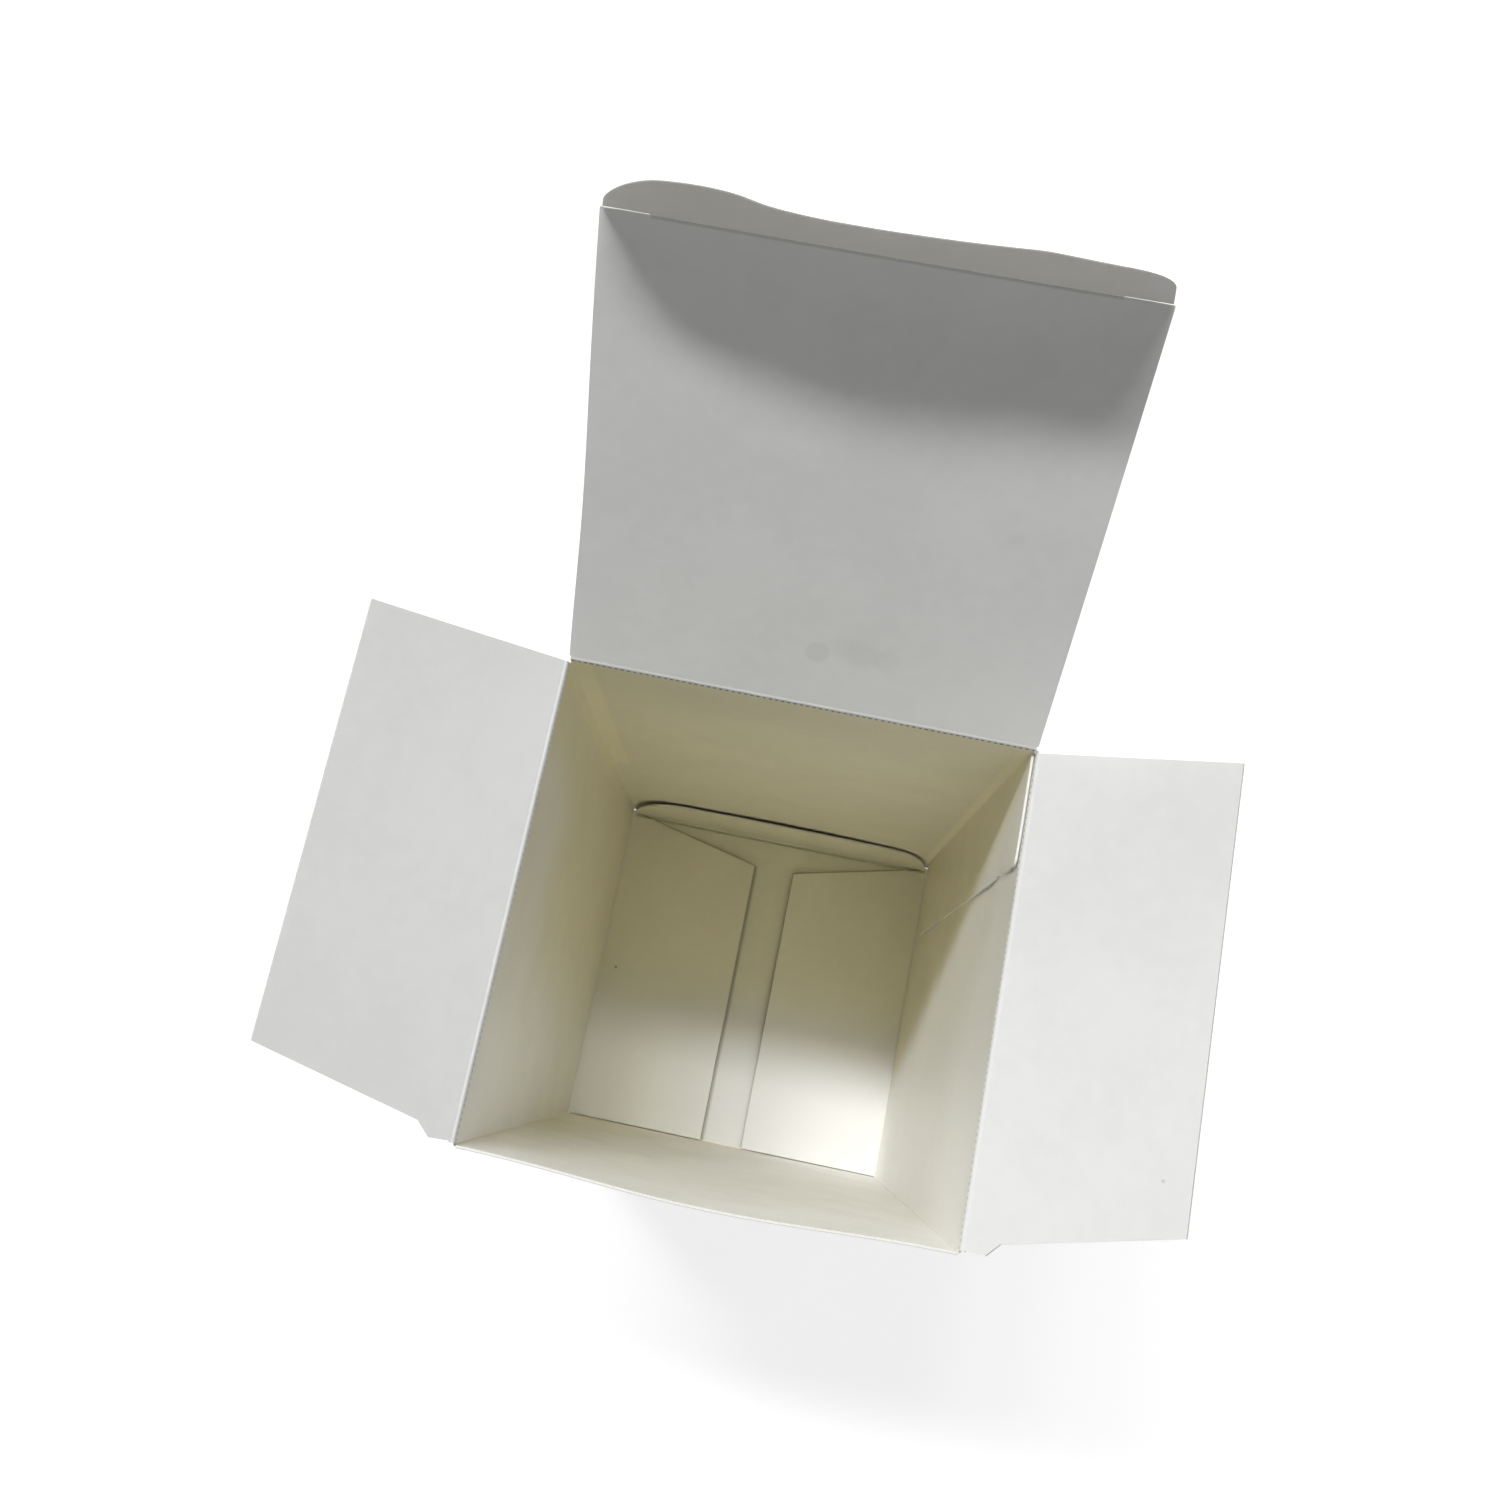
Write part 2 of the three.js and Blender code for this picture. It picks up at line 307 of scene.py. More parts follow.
def lay_board(name, low, high, square, level=board):
    """Lays a rectangle of board flat, as small squares with the inner face up. Flat work is in
    millimetres."""
    bpy.ops.object.select_all(action="DESELECT")
    wide, long = high[0] - low[0], high[1] - low[1]
    bpy.ops.mesh.primitive_grid_add(
        x_subdivisions=max(1, round(wide / square)),
        y_subdivisions=max(1, round(long / square)),
        size=1,
        location=(0, 0, 0),
    )
    piece = bpy.context.object
    piece.name = piece.data.name = name
    bpy.ops.object.mode_set(mode="EDIT")
    bpy.ops.transform.resize(value=(wide, long, 1))
    bpy.ops.transform.translate(value=(low[0] + wide / 2, low[1] + long / 2, level))
    bpy.ops.object.mode_set(mode="OBJECT")
    return piece


def form(piece, rule):
    """Moves each point of a flat piece to where the rule says."""
    for point in piece.data.vertices:
        point.co = rule(*point.co)


def wave(x, y, seed, size):
    """A slow, uneven swell between about -1 and 1, as board takes on from damp and handling."""
    return 2 * noise.noise(Vector((x / size, y / size, seed)))


def pick(piece):
    """Selects one piece alone, for the operators that follow."""
    bpy.ops.object.select_all(action="DESELECT")
    piece.select_set(True)
    bpy.context.view_layer.objects.active = piece


def thicken(piece, finishes, thickness=board):
    """Gives a sheet its plies below the inner face. The finishes are those of its inner face, its
    outer face and its cut edge. The attribute ply is 0 on the inner face and 1 on the outer."""
    for finish in finishes:
        piece.data.materials.append(finish)
    pick(piece)
    plies = piece.modifiers.new("plies", "SOLIDIFY")
    plies.thickness = thickness
    plies.offset = -1
    plies.use_even_offset = True
    plies.material_offset = 1
    plies.material_offset_rim = 2
    bpy.ops.object.modifier_apply(modifier=plies.name)
    half = len(piece.data.vertices) // 2
    ply = piece.data.attributes.new("ply", "FLOAT", "POINT")
    ply.data.foreach_set("value", [0.0] * half + [1.0] * half)


def set_in_place(piece, place, slot, body, *nodes):
    """Puts a finished piece where the CAD has it, and lets it ride on its body, if it has one."""
    piece.data.transform(place)
    pick(piece)
    bpy.ops.object.shade_smooth_by_angle(angle=math.radians(35))
    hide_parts(*nodes)
    if body:
        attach(piece, body)


# Painted light: the yellow of a glow along the creased corners.
painted_glow_yellow = (0.95, 0.885, 0.60, 1)


def back_corner_painted_glow(finish, place, face):
    """Painted light: a yellow glow in a strip beside the back left corner, down to 60 mm, and in a
    narrow one beside the back right corner."""
    x, y, z = finish.axes(place)
    strip = (1.0 - finish.step(x, -31.8, -31.0)) * finish.step(z, 59.0, 62.0)
    ridge = finish.step(x, 32.0, 32.8)
    return finish.mixed((strip + ridge) * 0.85, face, painted_glow_yellow)


def left_wall_painted_light(finish, place, face):
    """The same painted glow on the left wall, wider and fainter, and painted light that makes the
    wall paler towards its front and its top."""
    x, y, z = finish.axes(place)
    front = finish.step(y, 5.0, -30.0) * (0.5 + 0.4 * finish.step(z, 35.0, 95.0))
    face = finish.mixed(front, face, inside_painted_light)
    top = finish.step(z, 88.0, 122.0) * finish.step(y, 28.0, 16.0) * finish.step(y, -26.0, -8.0)
    face = finish.mixed(top * 0.55, face, inside_painted_light)
    strip = finish.step(y, 31.0, 33.0) * finish.step(z, 56.0, 62.0)
    return finish.mixed(strip * 0.6, face, painted_glow_yellow)


def painted_lit_front(finish, place, face):
    """Painted light and shadow: the front of the carton is paler than its back, along a slanting
    line that is the edge of the back wall's shadow.
    """
    x, y, z = finish.axes(place)
    return finish.mixed(finish.step(y - (z - 41.0) * 0.345, 4.0, -6.0), face, inside_painted_light)


# The back and left walls take the shaded tone all over: painted shade.
back_pulp = pulp("back_wall_pulp", inside_shade, band=back_corner_painted_glow, mottle=0.06)
left_pulp = pulp("left_wall_pulp", inside_shade, band=left_wall_painted_light, rough=0.40, mottle=0.08)
right_pulp = pulp("right_wall_pulp", inside_cream, band=painted_lit_front, rough=0.36, mottle=0.08)
white_coat = coated("white_coating", outside_white)
pulp_edge = cut_edge("cut_edge", (0.88, 0.87, 0.81, 1))


def wall(name, low, high, place, inner, seed, node, pushed=0.0):
    """One flat wall, with a swell of a tenth of a millimetre that dies out at its creases. pushed
    is how far the bottom tuck pushes its foot out, halfway along."""
    piece = lay_board(name, low, high, 2.5)
    middle = [(low[i] + high[i]) / 2 for i in range(2)]
    half = [(high[i] - low[i]) / 2 for i in range(2)]
    swell_height, swell_size = 0.14, 26
    push_top, push_fade = 20, 24

    def swell(x, y, z):
        inward = [max(0.0, 1 - ((v - m) / h) ** 2) for v, m, h in zip((x, y), middle, half)]
        rise = swell_height * wave(x, y, seed, swell_size) * math.sqrt(inward[0] * inward[1])
        foot = pushed * inward[0] * math.exp(-((max(0.0, y - push_top) / push_fade) ** 2))
        return x, y, z + rise - foot

    form(piece, swell)
    thicken(piece, (inner, white_coat, pulp_edge))
    set_in_place(piece, place, "board_inside", "sleeve", node)


back_place = placing((0, half_width, 0), (1, 0, 0), (0, 0, 1))
left_place = placing((-half_width, 0, 0), (0, 1, 0), (0, 0, 1))
right_place = placing((half_width, 0, 0), (0, -1, 0), (0, 0, 1))
wall("back_wall_board", (-flat_half, 0), (seam_half, 139.4), back_place,
     back_pulp, 1.5, "back_wall", pushed=0.5)
wall("left_wall_board", (-flat_half, side_foot), (flat_half, side_top), left_place,
     left_pulp, 7.5, "left_wall")
wall("right_wall_board", (-half_width, side_foot), (flat_half, side_top), right_place,
     right_pulp, 13.5, "right_wall")


# ------------------------------------------------------------ Sleeve: front wall
# The front wall has nothing hinged to its top edge, which is a plain cut, so it springs out in a
# shallow bow of 1.25 mm. Just below the edge, inside, is a small pale scuff.
def front_wall_painted_light(finish, place, face):
    """Painted light: the front wall is palest towards its top and its right, where light falls."""
    x, y, z = finish.axes(place)
    return finish.mixed(0.2 + 0.8 * finish.step(x + z * 0.35, -20.0, 20.0), face, inside_painted_light)


front_pulp = pulp("front_wall_pulp", inside_cream, band=front_wall_painted_light, rough=0.36, mottle=0.16, marks=[
    ((-17.0, -34.6, 137.2), 0.9, 0.6, (0.97, 0.96, 0.92, 1), 0.9),
])
front_foot = 0.6
front_height = 139
front_bow = 1.25
front = lay_board("front_wall_board", (-flat_half, front_foot), (flat_half, 139.6), 2.0)


def bow(x, y, z):
    """Outwards, most at the middle of the top edge, and nothing at the corners and the foot."""
    height = (y - front_foot) / front_height
    return x, y, z - front_bow * math.cos(math.pi * x / (2 * flat_half)) ** 2 * height**2


form(front, bow)
thicken(front, (front_pulp, white_coat, pulp_edge))
front_place = placing((0, -half_width, 0), (-1, 0, 0), (0, 0, 1))
set_in_place(front, front_place, "board_inside", "sleeve", "front_wall")

# ------------------------------------------------------------ Sleeve: four corner bends
# Each upright corner is a crease pressed into the board before folding: a bend of 0.6 mm outside,
# with the pulp pushed up in a narrow bead inside. The coating has cracked a little along the
# outside of the bend, in short cracks that follow each other every 0.92 mm.
crack_pitch = 0.92


def creased(name, colour, groove, dash, paler, band=None):
    """Board along a crease: a bead of pushed-up pulp beside a groove of short dark cracks. The
    bead's paler colour is a painted highlight; the cracks' dark is partly their own and partly
    painted shade in the groove. dash is how far the cracks run into each other."""
    finish = Finish(name)
    place = finish.place()
    across = finish.add("ShaderNodeAttribute", {"attribute_name": "across"}, out="Fac")
    along = finish.add("ShaderNodeAttribute", {"attribute_name": "along"}, out="Fac")
    ragged = finish.noise(place, 0.9, 3.0, 0.6)
    turns = along * (2 * math.pi / crack_pitch) + ragged * 3.0
    cracks = finish.add("ShaderNodeMath", {"operation": "SINE"}, {0: turns})
    bottom = finish.step(across, -0.46, -0.30) * (1.0 - finish.step(across, -0.06, 0.10))
    line = bottom * finish.step(cracks + ragged * 1.2, 0.2 - dash, 1.1 - dash)
    bead = finish.step(across, 0.0, 0.14) * (1.0 - finish.step(across, 0.34, 0.5))
    fibre = finish.noise(place, 0.3, 3.0, 0.7)
    face = finish.mixed(finish.step(fibre, 0.4, 0.75), colour, toned(colour, 0.93))
    if band:
        face = band(finish, place, face)
    face = finish.mixed(bead * 0.6, face, paler)
    face = finish.mixed(line, face, groove)
    return finish.shine(face, 0.82, finish.bumps(fibre + ragged, strength=0.8, depth=0.06))


# The back corners' creases carry the painted yellow glow, and the front right one the painted light
# of its walls; each bead is a painted highlight.
corner_crease = creased(
    "corner_crease", (0.92, 0.85, 0.62, 1), (0.84, 0.77, 0.56, 1), 0.3, (0.94, 0.875, 0.66, 1))
front_corner_crease = creased(
    "front_corner_crease", inside_cream, (0.84, 0.79, 0.64, 1), 0.3, (0.93, 0.89, 0.76, 1))
corner_crease_painted_light = creased(
    "corner_crease_painted_light", (0.93, 0.915, 0.86, 1), (0.80, 0.78, 0.70, 1), 0.3, inside_painted_light)
cracked_coat = creased(
    "cracked_coating", outside_white, (0.68, 0.67, 0.64, 1), 0.0, (0.79, 0.79, 0.78, 1))


def fold_bar(name, section, inner_count, low, high, rows):
    """A closed bar along x with this section, whose first inner_count points are its inner face.
    Each point keeps where it lies across and along the bar, as two attributes."""
    bpy.ops.object.select_all(action="DESELECT")
    sides = len(section)
    bpy.ops.mesh.primitive_cylinder_add(
        vertices=sides, radius=1, depth=2, end_fill_type="NGON", location=(0, 0, 0))
    bar = bpy.context.object
    bar.name = bar.data.name = name
    bpy.ops.object.mode_set(mode="EDIT")
    bpy.ops.mesh.select_mode(type="EDGE")
    bpy.ops.mesh.select_all(action="DESELECT")
    bpy.ops.object.mode_set(mode="OBJECT")
    points = bar.data.vertices
    for edge in bar.data.edges:
        a, b = (points[i].co.z for i in edge.vertices)
        edge.select = abs(a - b) > 1
    bpy.ops.object.mode_set(mode="EDIT")
    bpy.ops.mesh.subdivide(number_cuts=rows - 1)
    bpy.ops.object.mode_set(mode="OBJECT")

    def side(co):
        return round(math.atan2(-co.x, co.y) / math.tau * sides) % sides

    places = [side(point.co) for point in points]
    inner_face, outer_face, cut_end = range(3)
    for face in bar.data.polygons:
        if len(face.vertices) > 4:
            face.material_index = cut_end
        elif all(places[i] < inner_count for i in face.vertices):
            face.material_index = inner_face
        else:
            face.material_index = outer_face
    across = bar.data.attributes.new("across", "FLOAT", "POINT")
    along = bar.data.attributes.new("along", "FLOAT", "POINT")
    for point, place in zip(points, places):
        x = low + (high - low) * (point.co.z + 1) / 2
        point.co = (x, *section[place])
    across.data.foreach_set("value", [point.co.y for point in points])
    along.data.foreach_set("value", [point.co.x for point in points])
    return bar


def right_way_out(piece):
    """Turns all faces of a closed piece outwards."""
    pick(piece)
    bpy.ops.object.mode_set(mode="EDIT")
    bpy.ops.mesh.select_all(action="SELECT")
    bpy.ops.mesh.normals_make_consistent(inside=False)
    bpy.ops.object.mode_set(mode="OBJECT")


corner_radius = 0.6
bend_steps = 10
bend_half = 0.471
bend_rows = 150
inner_line = [(-bend_half + 2 * bend_half * i / bend_steps, board) for i in range(bend_steps + 1)]
outer_line = [(s, 0.0) for s, _ in reversed(inner_line)]


def corner_bend(name, centre, start, node, inner_finish):
    """One upright corner, bent through a quarter turn about its own centre, from the angle start
    in degrees."""
    section = inner_line + outer_line
    bar = fold_bar(name, section, len(inner_line), side_foot, side_top, bend_rows)
    bead_height, bead_reach = 0.07, 0.16

    def bend(x, y, z):
        inside = z > board / 2
        bead = bead_height * math.exp(-((y / bead_reach) ** 2)) * inside
        bead *= 1 + 0.4 * wave(x, 0, start, 1.7)
        turn = math.radians(start) + (y / bend_half + 1) / 2 * math.pi / 2
        reach = corner_radius - z - bead
        return centre[0] + reach * math.cos(turn), centre[1] + reach * math.sin(turn), x

    form(bar, bend)
    for finish in (inner_finish, cracked_coat, pulp_edge):
        bar.data.materials.append(finish)
    right_way_out(bar)
    set_in_place(bar, Matrix.Scale(mm, 4), "creased_board", "sleeve", node)


corner_bend("back_left_bend", (-flat_half, flat_half), 90, "back_left_corner", corner_crease)
corner_bend("front_left_bend", (-flat_half, -flat_half), 180, "front_left_corner",
            front_corner_crease)
corner_bend("front_right_bend", (flat_half, -flat_half), 270, "front_right_corner",
            corner_crease_painted_light)
corner_bend("back_right_bend", (seam_half, flat_half), 0, "back_right_corner", corner_crease)

# ------------------------------------------------------------ Sleeve: glue flap and its glue
# The strip that follows the back wall round the corner, glued flat to the inside of the right
# wall. Its free edge has come up a little at the top, and is torn where the glue let go. A tenth
# of a millimetre of dried glue lies between the two.
flap_edge = -17.9
flap_foot, flap_top = 8.85, 138.5
flap_level = 0.9  # two plies of board and the glue
glue_flap = lay_board("glue_flap_board", (-flat_half, flap_foot), (flap_edge, flap_top), 1.0,
                      level=flap_level)


def trim(piece, point, waste, low=None, high=None):
    """Cuts waste off along a straight line through point. waste is the way towards it. With low
    and high, the cut stays in that rectangle."""
    pick(piece)
    bpy.ops.object.mode_set(mode="EDIT")
    bpy.ops.mesh.select_mode(type="FACE")
    for corner in (low, high) if low else ():
        for i in range(2):
            bpy.ops.mesh.select_all(action="SELECT")
            bpy.ops.mesh.bisect(plane_co=(*corner, 0), plane_no=(1 - i, i, 0))
    way = Vector((*waste, 0)).normalized()
    for cut in (True, False):
        bpy.ops.mesh.select_all(action="DESELECT")
        bpy.ops.object.mode_set(mode="OBJECT")
        for face in piece.data.polygons:
            inside = not low or all(low[i] < face.center[i] < high[i] for i in range(2))
            face.select = inside and (cut or (face.center - Vector((*point, 0))).dot(way) > 0)
        bpy.ops.object.mode_set(mode="EDIT")
        if cut:
            bpy.ops.mesh.bisect(plane_co=(*point, 0), plane_no=way)
        else:
            bpy.ops.mesh.delete(type="FACE")
    bpy.ops.object.mode_set(mode="OBJECT")


def trim_round(piece, *points):
    """Cuts along a row of points on the outline, taken counter-clockwise, with the waste on their
    right."""
    for (x, y), (next_x, next_y) in zip(points, points[1:]):
        trim(piece, (x, y), (next_y - y, x - next_x))


def round_corner(piece, centre, radius, start, end, steps):
    """Rounds a corner by a row of short straight cuts, between two angles in degrees."""
    for i in range(steps + 1):
        turn = math.radians(start + (end - start) * i / steps)
        way = (math.cos(turn), math.sin(turn))
        trim(piece, (centre[0] + radius * way[0], centre[1] + radius * way[1]), way)


trim(glue_flap, (flap_edge, 11.85), (0.1786, -1))
round_corner(glue_flap, (-18.9, 137.5), 1.0, 10, 80, 4)
torn_middle, torn_half = 124.0, 4.5


def lift(x, y, z):
    """The free edge stands off the wall by a tenth of a millimetre at the top, and is pressed to
    it lower down. It is a little ragged, and torn thin from 10 to 19 mm below the top."""
    edge = x > -18.4
    free = max(0.0, 1 - (flap_edge - x) / 7) ** 2
    top = max(0.0, 1 - (flap_top - y) / 9)
    ragged = 0.10 * wave(y, 0, 3.3, 1.6) * edge
    torn = math.exp(-(((y - torn_middle) / torn_half) ** 4)) * edge
    pulled = torn * (0.25 + 0.45 * wave(y, 0, 6.1, 1.3))
    thinned = torn * (0.24 + 0.2 * wave(y, 0, 8.2, 1.1))
    return x + ragged - pulled, y, z + free * (0.10 * top - 0.07 * (1 - top)) - thinned


form(glue_flap, lift)
thicken(glue_flap, (right_pulp, white_coat, pulp_edge))
set_in_place(glue_flap, right_place, "board_inside", "sleeve", "glue_flap")

glue = Finish("dried_glue")
runs = glue.noise(glue.place(), 1.6, 3.0)
glue_colour = glue.mixed(runs, (0.80, 0.76, 0.60, 1), (0.88, 0.86, 0.74, 1))
dried_glue = glue.shine(glue_colour, 0.28 + runs * 0.2, glue.bumps(runs, strength=0.6, depth=0.05))
glue_thickness = 0.1
glue_middle, glue_half = -26.15, 5.75
glue_line = lay_board("glue_film", (-31.9, 11.5), (-20.4, 136.0), 1.2, level=0.5)


def spread(x, y, z):
    """Glue rolled on in a stripe and pressed out to an uneven edge."""
    out = abs(x - glue_middle) / glue_half
    return x + 0.9 * wave(y, x, 9.7, 4) * out, y + 0.5 * wave(x, y, 2.9, 5), z


form(glue_line, spread)
thicken(glue_line, (dried_glue, dried_glue, dried_glue), glue_thickness)
set_in_place(glue_line, right_place, "dried_glue", "sleeve", "glue_line")

# ------------------------------------------------------------ Lid: crease, panel and tuck
# The lid hangs on the back wall by a crease and stands open, leaning back by 38 degrees. Its tuck
# is folded inwards, on a crease between two short slits that lock it, and has a slow S along its
# free edge from being pushed in.
# Painted light and shade: the lid, the flaps and the tuck are one board, given different tones for
# the light each gets; the lid's is the palest.
inside_white = (0.835, 0.835, 0.815, 1)
smudge = (0.60, 0.60, 0.60, 1)
lid_degrees, tuck_degrees = 38.2, 54
lid_lean = math.radians(lid_degrees)
tuck_fold = math.radians(tuck_degrees)
lid_away = Vector((0, math.sin(lid_lean), math.cos(lid_lean)))
lid_hinge = Vector((0, half_width, 140))
lid_place = placing(lid_hinge, (1, 0, 0), lid_away)
lid_pulp = pulp("lid_pulp", inside_white, rough=0.6, marks=[
    ((0.8, 41.1, 147.7), 2.1, 0.35, smudge, 0.26),
    ((7.0, 41.6, 148.4), 3.3, 0.5, smudge, 0.17),
    ((10.6, 41.5, 148.2), 2.4, 0.4, (0.60, 0.60, 0.59, 1), 0.14),
    ((4.2, 42.2, 149.1), 2.8, 0.6, smudge, 0.12),
    ((23.5, 55.8, 166.5), 2.2, 0.9, smudge, 0.14),
    ((22.0, 55.0, 165.4), 1.4, 0.9, smudge, 0.08),
])
# Painted shade: the lid crease's groove is nearly black, for the shade in it, as well as its
# cracks.
lid_crease_finish = creased(
    "lid_crease", inside_white, (0.24, 0.24, 0.20, 1), 0.0, (0.86, 0.86, 0.845, 1))
# Painted shade: the tuck crease is as grey as the shaded tuck.
soft_crease_finish = creased(
    "soft_crease", (0.73, 0.73, 0.70, 1), (0.70, 0.70, 0.67, 1), 0.1, (0.75, 0.75, 0.72, 1))

# A folding crease reaches 0.6 mm to each side of its fold line. These are the places of its
# points across, closer together on the inner face, where the bead and the groove are.
setback = 0.6
across_inner = [-0.6, -0.5, -0.42, -0.34, -0.26, -0.18, -0.1, -0.02,
                0.06, 0.14, 0.22, 0.3, 0.38, 0.46, 0.54, 0.6]
across_outer = [0.6, 0.4, 0.2, 0.0, -0.2, -0.4, -0.6]
row_length = 0.23
bead_place, bead_reach = 0.24, 0.15
groove_place, groove_reach = -0.18, 0.11
bend_reach = 0.35


def crease_bar(name, half, place, lean, node, finish, bead, groove, side=1, warp=None):
    """A crease: board from the panel before it (y below 0) to the panel after it, bent outwards by
    lean about x. side is 1 where the fold line lies on the outer face, and -1 where it lies on the
    inner face. bead and groove are the height of the one and the depth of the other, in
    millimetres."""
    inner, outer = (board, 0.0) if side > 0 else (0.0, -board)
    section = [(s, inner) for s in across_inner] + [(s, outer) for s in across_outer]
    bar = fold_bar(name, section, len(across_inner), -half, half, round(2 * half / row_length))

    def bend(x, y, z):
        if abs(z - inner) < 1e-6:
            dash = 0.5 + 0.5 * math.sin(math.tau * x / crack_pitch + 2.2 * wave(x, 0, 4.4, 2.0))
            ridge = bead * math.exp(-(((y - bead_place) / bead_reach) ** 2))
            z += ridge * (1 + 0.35 * wave(x, 0, 8.8, 0.9))
            z -= groove * math.exp(-(((y - groove_place) / groove_reach) ** 2)) * dash
        share = min(max((y + bend_reach) / (2 * bend_reach), 0.0), 1.0)
        turn = lean * share * share * (3 - 2 * share)
        across, up = y, z
        y = across * math.cos(turn) + up * math.sin(turn)
        z = up * math.cos(turn) - across * math.sin(turn)
        return warp(x, y, z) if warp else (x, y, z)

    form(bar, bend)
    for each in (finish, white_coat, pulp_edge):
        bar.data.materials.append(each)
    right_way_out(bar)
    set_in_place(bar, place, "creased_board", None, node)
    half_lean = lean / 2
    way = (place.to_3x3() @ Vector((0, math.cos(half_lean), -math.sin(half_lean)))).normalized()
    reach = setback * math.cos(half_lean) - max(0.0, inner * math.sin(-half_lean))
    axis = place.translation
    axis - way * reach * mm
    axis + way * reach * mm
    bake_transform(bar)


crease_bar("lid_fold", flat_half, placing(lid_hinge, (1, 0, 0), (0, 0, 1)), lid_lean,
           "lid_crease", lid_crease_finish, bead=0.04, groove=0.14)

# The lid is cut short between the slits, where its crease follows, and its two ends reach a
# little further, to the foot of the tuck's ears.
panel_half = 34.6
slit_half = 28.4
lid_length = 69
panel_end, ear_end, lid_end = 68.55, 68.95, 69.15  # lid_end is the fold line of the tuck


def lid_twist(x):
    """The lid's far end leans back a little more at its right than at its left."""
    share = x / panel_half
    return -0.12 - 0.58 * share - 0.33 * share * share


lid = lay_board("lid_board", (-panel_half, setback), (panel_half, lid_end), 1.5)
trim(lid, (0, panel_end), (0, 1), (-slit_half, 60), (slit_half, 80))
trim(lid, (0, ear_end), (0, 1))
round_corner(lid, (-34.1, 68.65), 0.5, 100, 170, 3)
round_corner(lid, (34.1, 68.65), 0.5, 80, 10, 3)


def lid_shape(x, y, z):
    """Left edge drawn in by 0.4 mm a third of the way up, far end twisted, and a slow swell."""
    up = y / lid_length
    third = math.exp(-(((up - 0.36) / 0.34) ** 2))
    waist = 0.4 * math.sin(math.pi * min(1.0, up * 1.02)) * third
    left = max(0.0, -x / panel_half) ** 3
    between = math.sin(math.pi * min(max((y - setback) / (lid_length - 1), 0), 1))
    return x + waist * left, y, z + lid_twist(x) * up * up + 0.07 * wave(x, y, 21.0, 30) * between


form(lid, lid_shape)
thicken(lid, (lid_pulp, white_coat, pulp_edge))
set_in_place(lid, lid_place, "board_inside", "lid", "lid_panel")

tuck_hinge = lid_hinge + lid_away * lid_end
tuck_rise = math.radians(90 + tuck_degrees - lid_degrees)
tuck_place = placing(tuck_hinge, (1, 0, 0), (0, math.cos(tuck_rise), math.sin(tuck_rise)))


def tuck_hinge_twist(x, y, z):
    """The tuck crease follows the lid's twisted end."""
    return x, y, z + lid_twist(x)


crease_bar("lid_tuck_fold_line", slit_half, placing(tuck_hinge, (1, 0, 0), lid_away), -tuck_fold,
           "lid_tuck_crease", soft_crease_finish, bead=0.05, groove=0.03,
           warp=tuck_hinge_twist)

tuck_half, tuck_length = 34.3, 12.0
tuck = lay_board("lid_tuck_board", (-tuck_half, setback), (tuck_half, tuck_length), 0.9)
trim(tuck, (tuck_half, 0.25), (12, 2.2))
trim(tuck, (-tuck_half, 0.25), (-12, 2.0))
round_corner(tuck, (26.3, 5.0), 7.0, 11, 88, 10)
round_corner(tuck, (-23.0, 1.0), 11.0, 92, 170, 14)
push_start, push_step = -35, 3.5
pushed_in = [1.2, -3.7, -5.5, -5.4, -5.6, -4.5, -1.4, 0.1, 0.8, 0.9, 0.8,
             0.4, -0.1, -0.8, -1.7, -2.6, -2.2, -1.6, -1.4, -2.4, -4.6]


def tuck_wave(x, y, z):
    """A slow S along the free edge. pushed_in gives, every 3.5 mm, by how many degrees the tuck is
    folded further in, and a smooth curve joins these."""
    up = y / tuck_length
    along = (x - push_start) / push_step
    step = min(int(along), len(pushed_in) - 2)
    share = along - step
    before, here, after, last = (
        pushed_in[min(max(step + i, 0), len(pushed_in) - 1)] for i in (-1, 0, 1, 2))
    slope = after - before
    bend = 2 * before - 5 * here + 4 * after - last
    swing = 3 * here - before - 3 * after + last
    fold = math.radians(here + 0.5 * share * (slope + share * (bend + share * swing)))
    push = tuck_length * math.tan(fold) * up**1.4
    shift = lid_twist(x)
    return x, y + shift * math.sin(tuck_fold), z + push + shift * math.cos(tuck_fold)


def crush(piece, shares):
    """Presses the outer ply up towards the inner face, by each point's own share."""
    points = piece.data.vertices
    for i, share in enumerate(shares):
        outer = points[len(shares) + i]
        outer.co = outer.co.lerp(points[i].co, share)


# The tuck's cut edge is dark grey.
dark_tuck_edge = cut_edge("dark_tuck_edge", (0.42, 0.41, 0.39, 1))
# Painted shade: the tuck's pulp is darker than the lid's, for the shade the tuck stands in.
tuck_pulp = pulp("tuck_pulp", (0.66, 0.646, 0.61, 1), rough=0.6)

# Handling has pressed the tuck's free edge thinner, most at the edge and not beyond 2.5 mm.
crushed_share, crushed_width = 0.65, 2.5
edge_numbers = {edge.key: edge.index for edge in tuck.data.edges}
faces_beside = [0] * len(tuck.data.edges)
for face in tuck.data.polygons:
    for key in face.edge_keys:
        faces_beside[edge_numbers[key]] += 1
tuck_points = [point.co.copy() for point in tuck.data.vertices]
outline = {i for edge in tuck.data.edges if faces_beside[edge.index] == 1 for i in edge.vertices}
free_points = [tuck_points[i] for i in outline if tuck_points[i].y > 0.7]
crushed = []
for point in tuck_points:
    away = min((point - other).length for other in free_points)
    crushed.append(crushed_share * max(0.0, 1 - away / crushed_width))
form(tuck, tuck_wave)
thicken(tuck, (tuck_pulp, white_coat, dark_tuck_edge))
crush(tuck, crushed)
set_in_place(tuck, tuck_place, "board_inside", "lid_tuck", "lid_tuck")

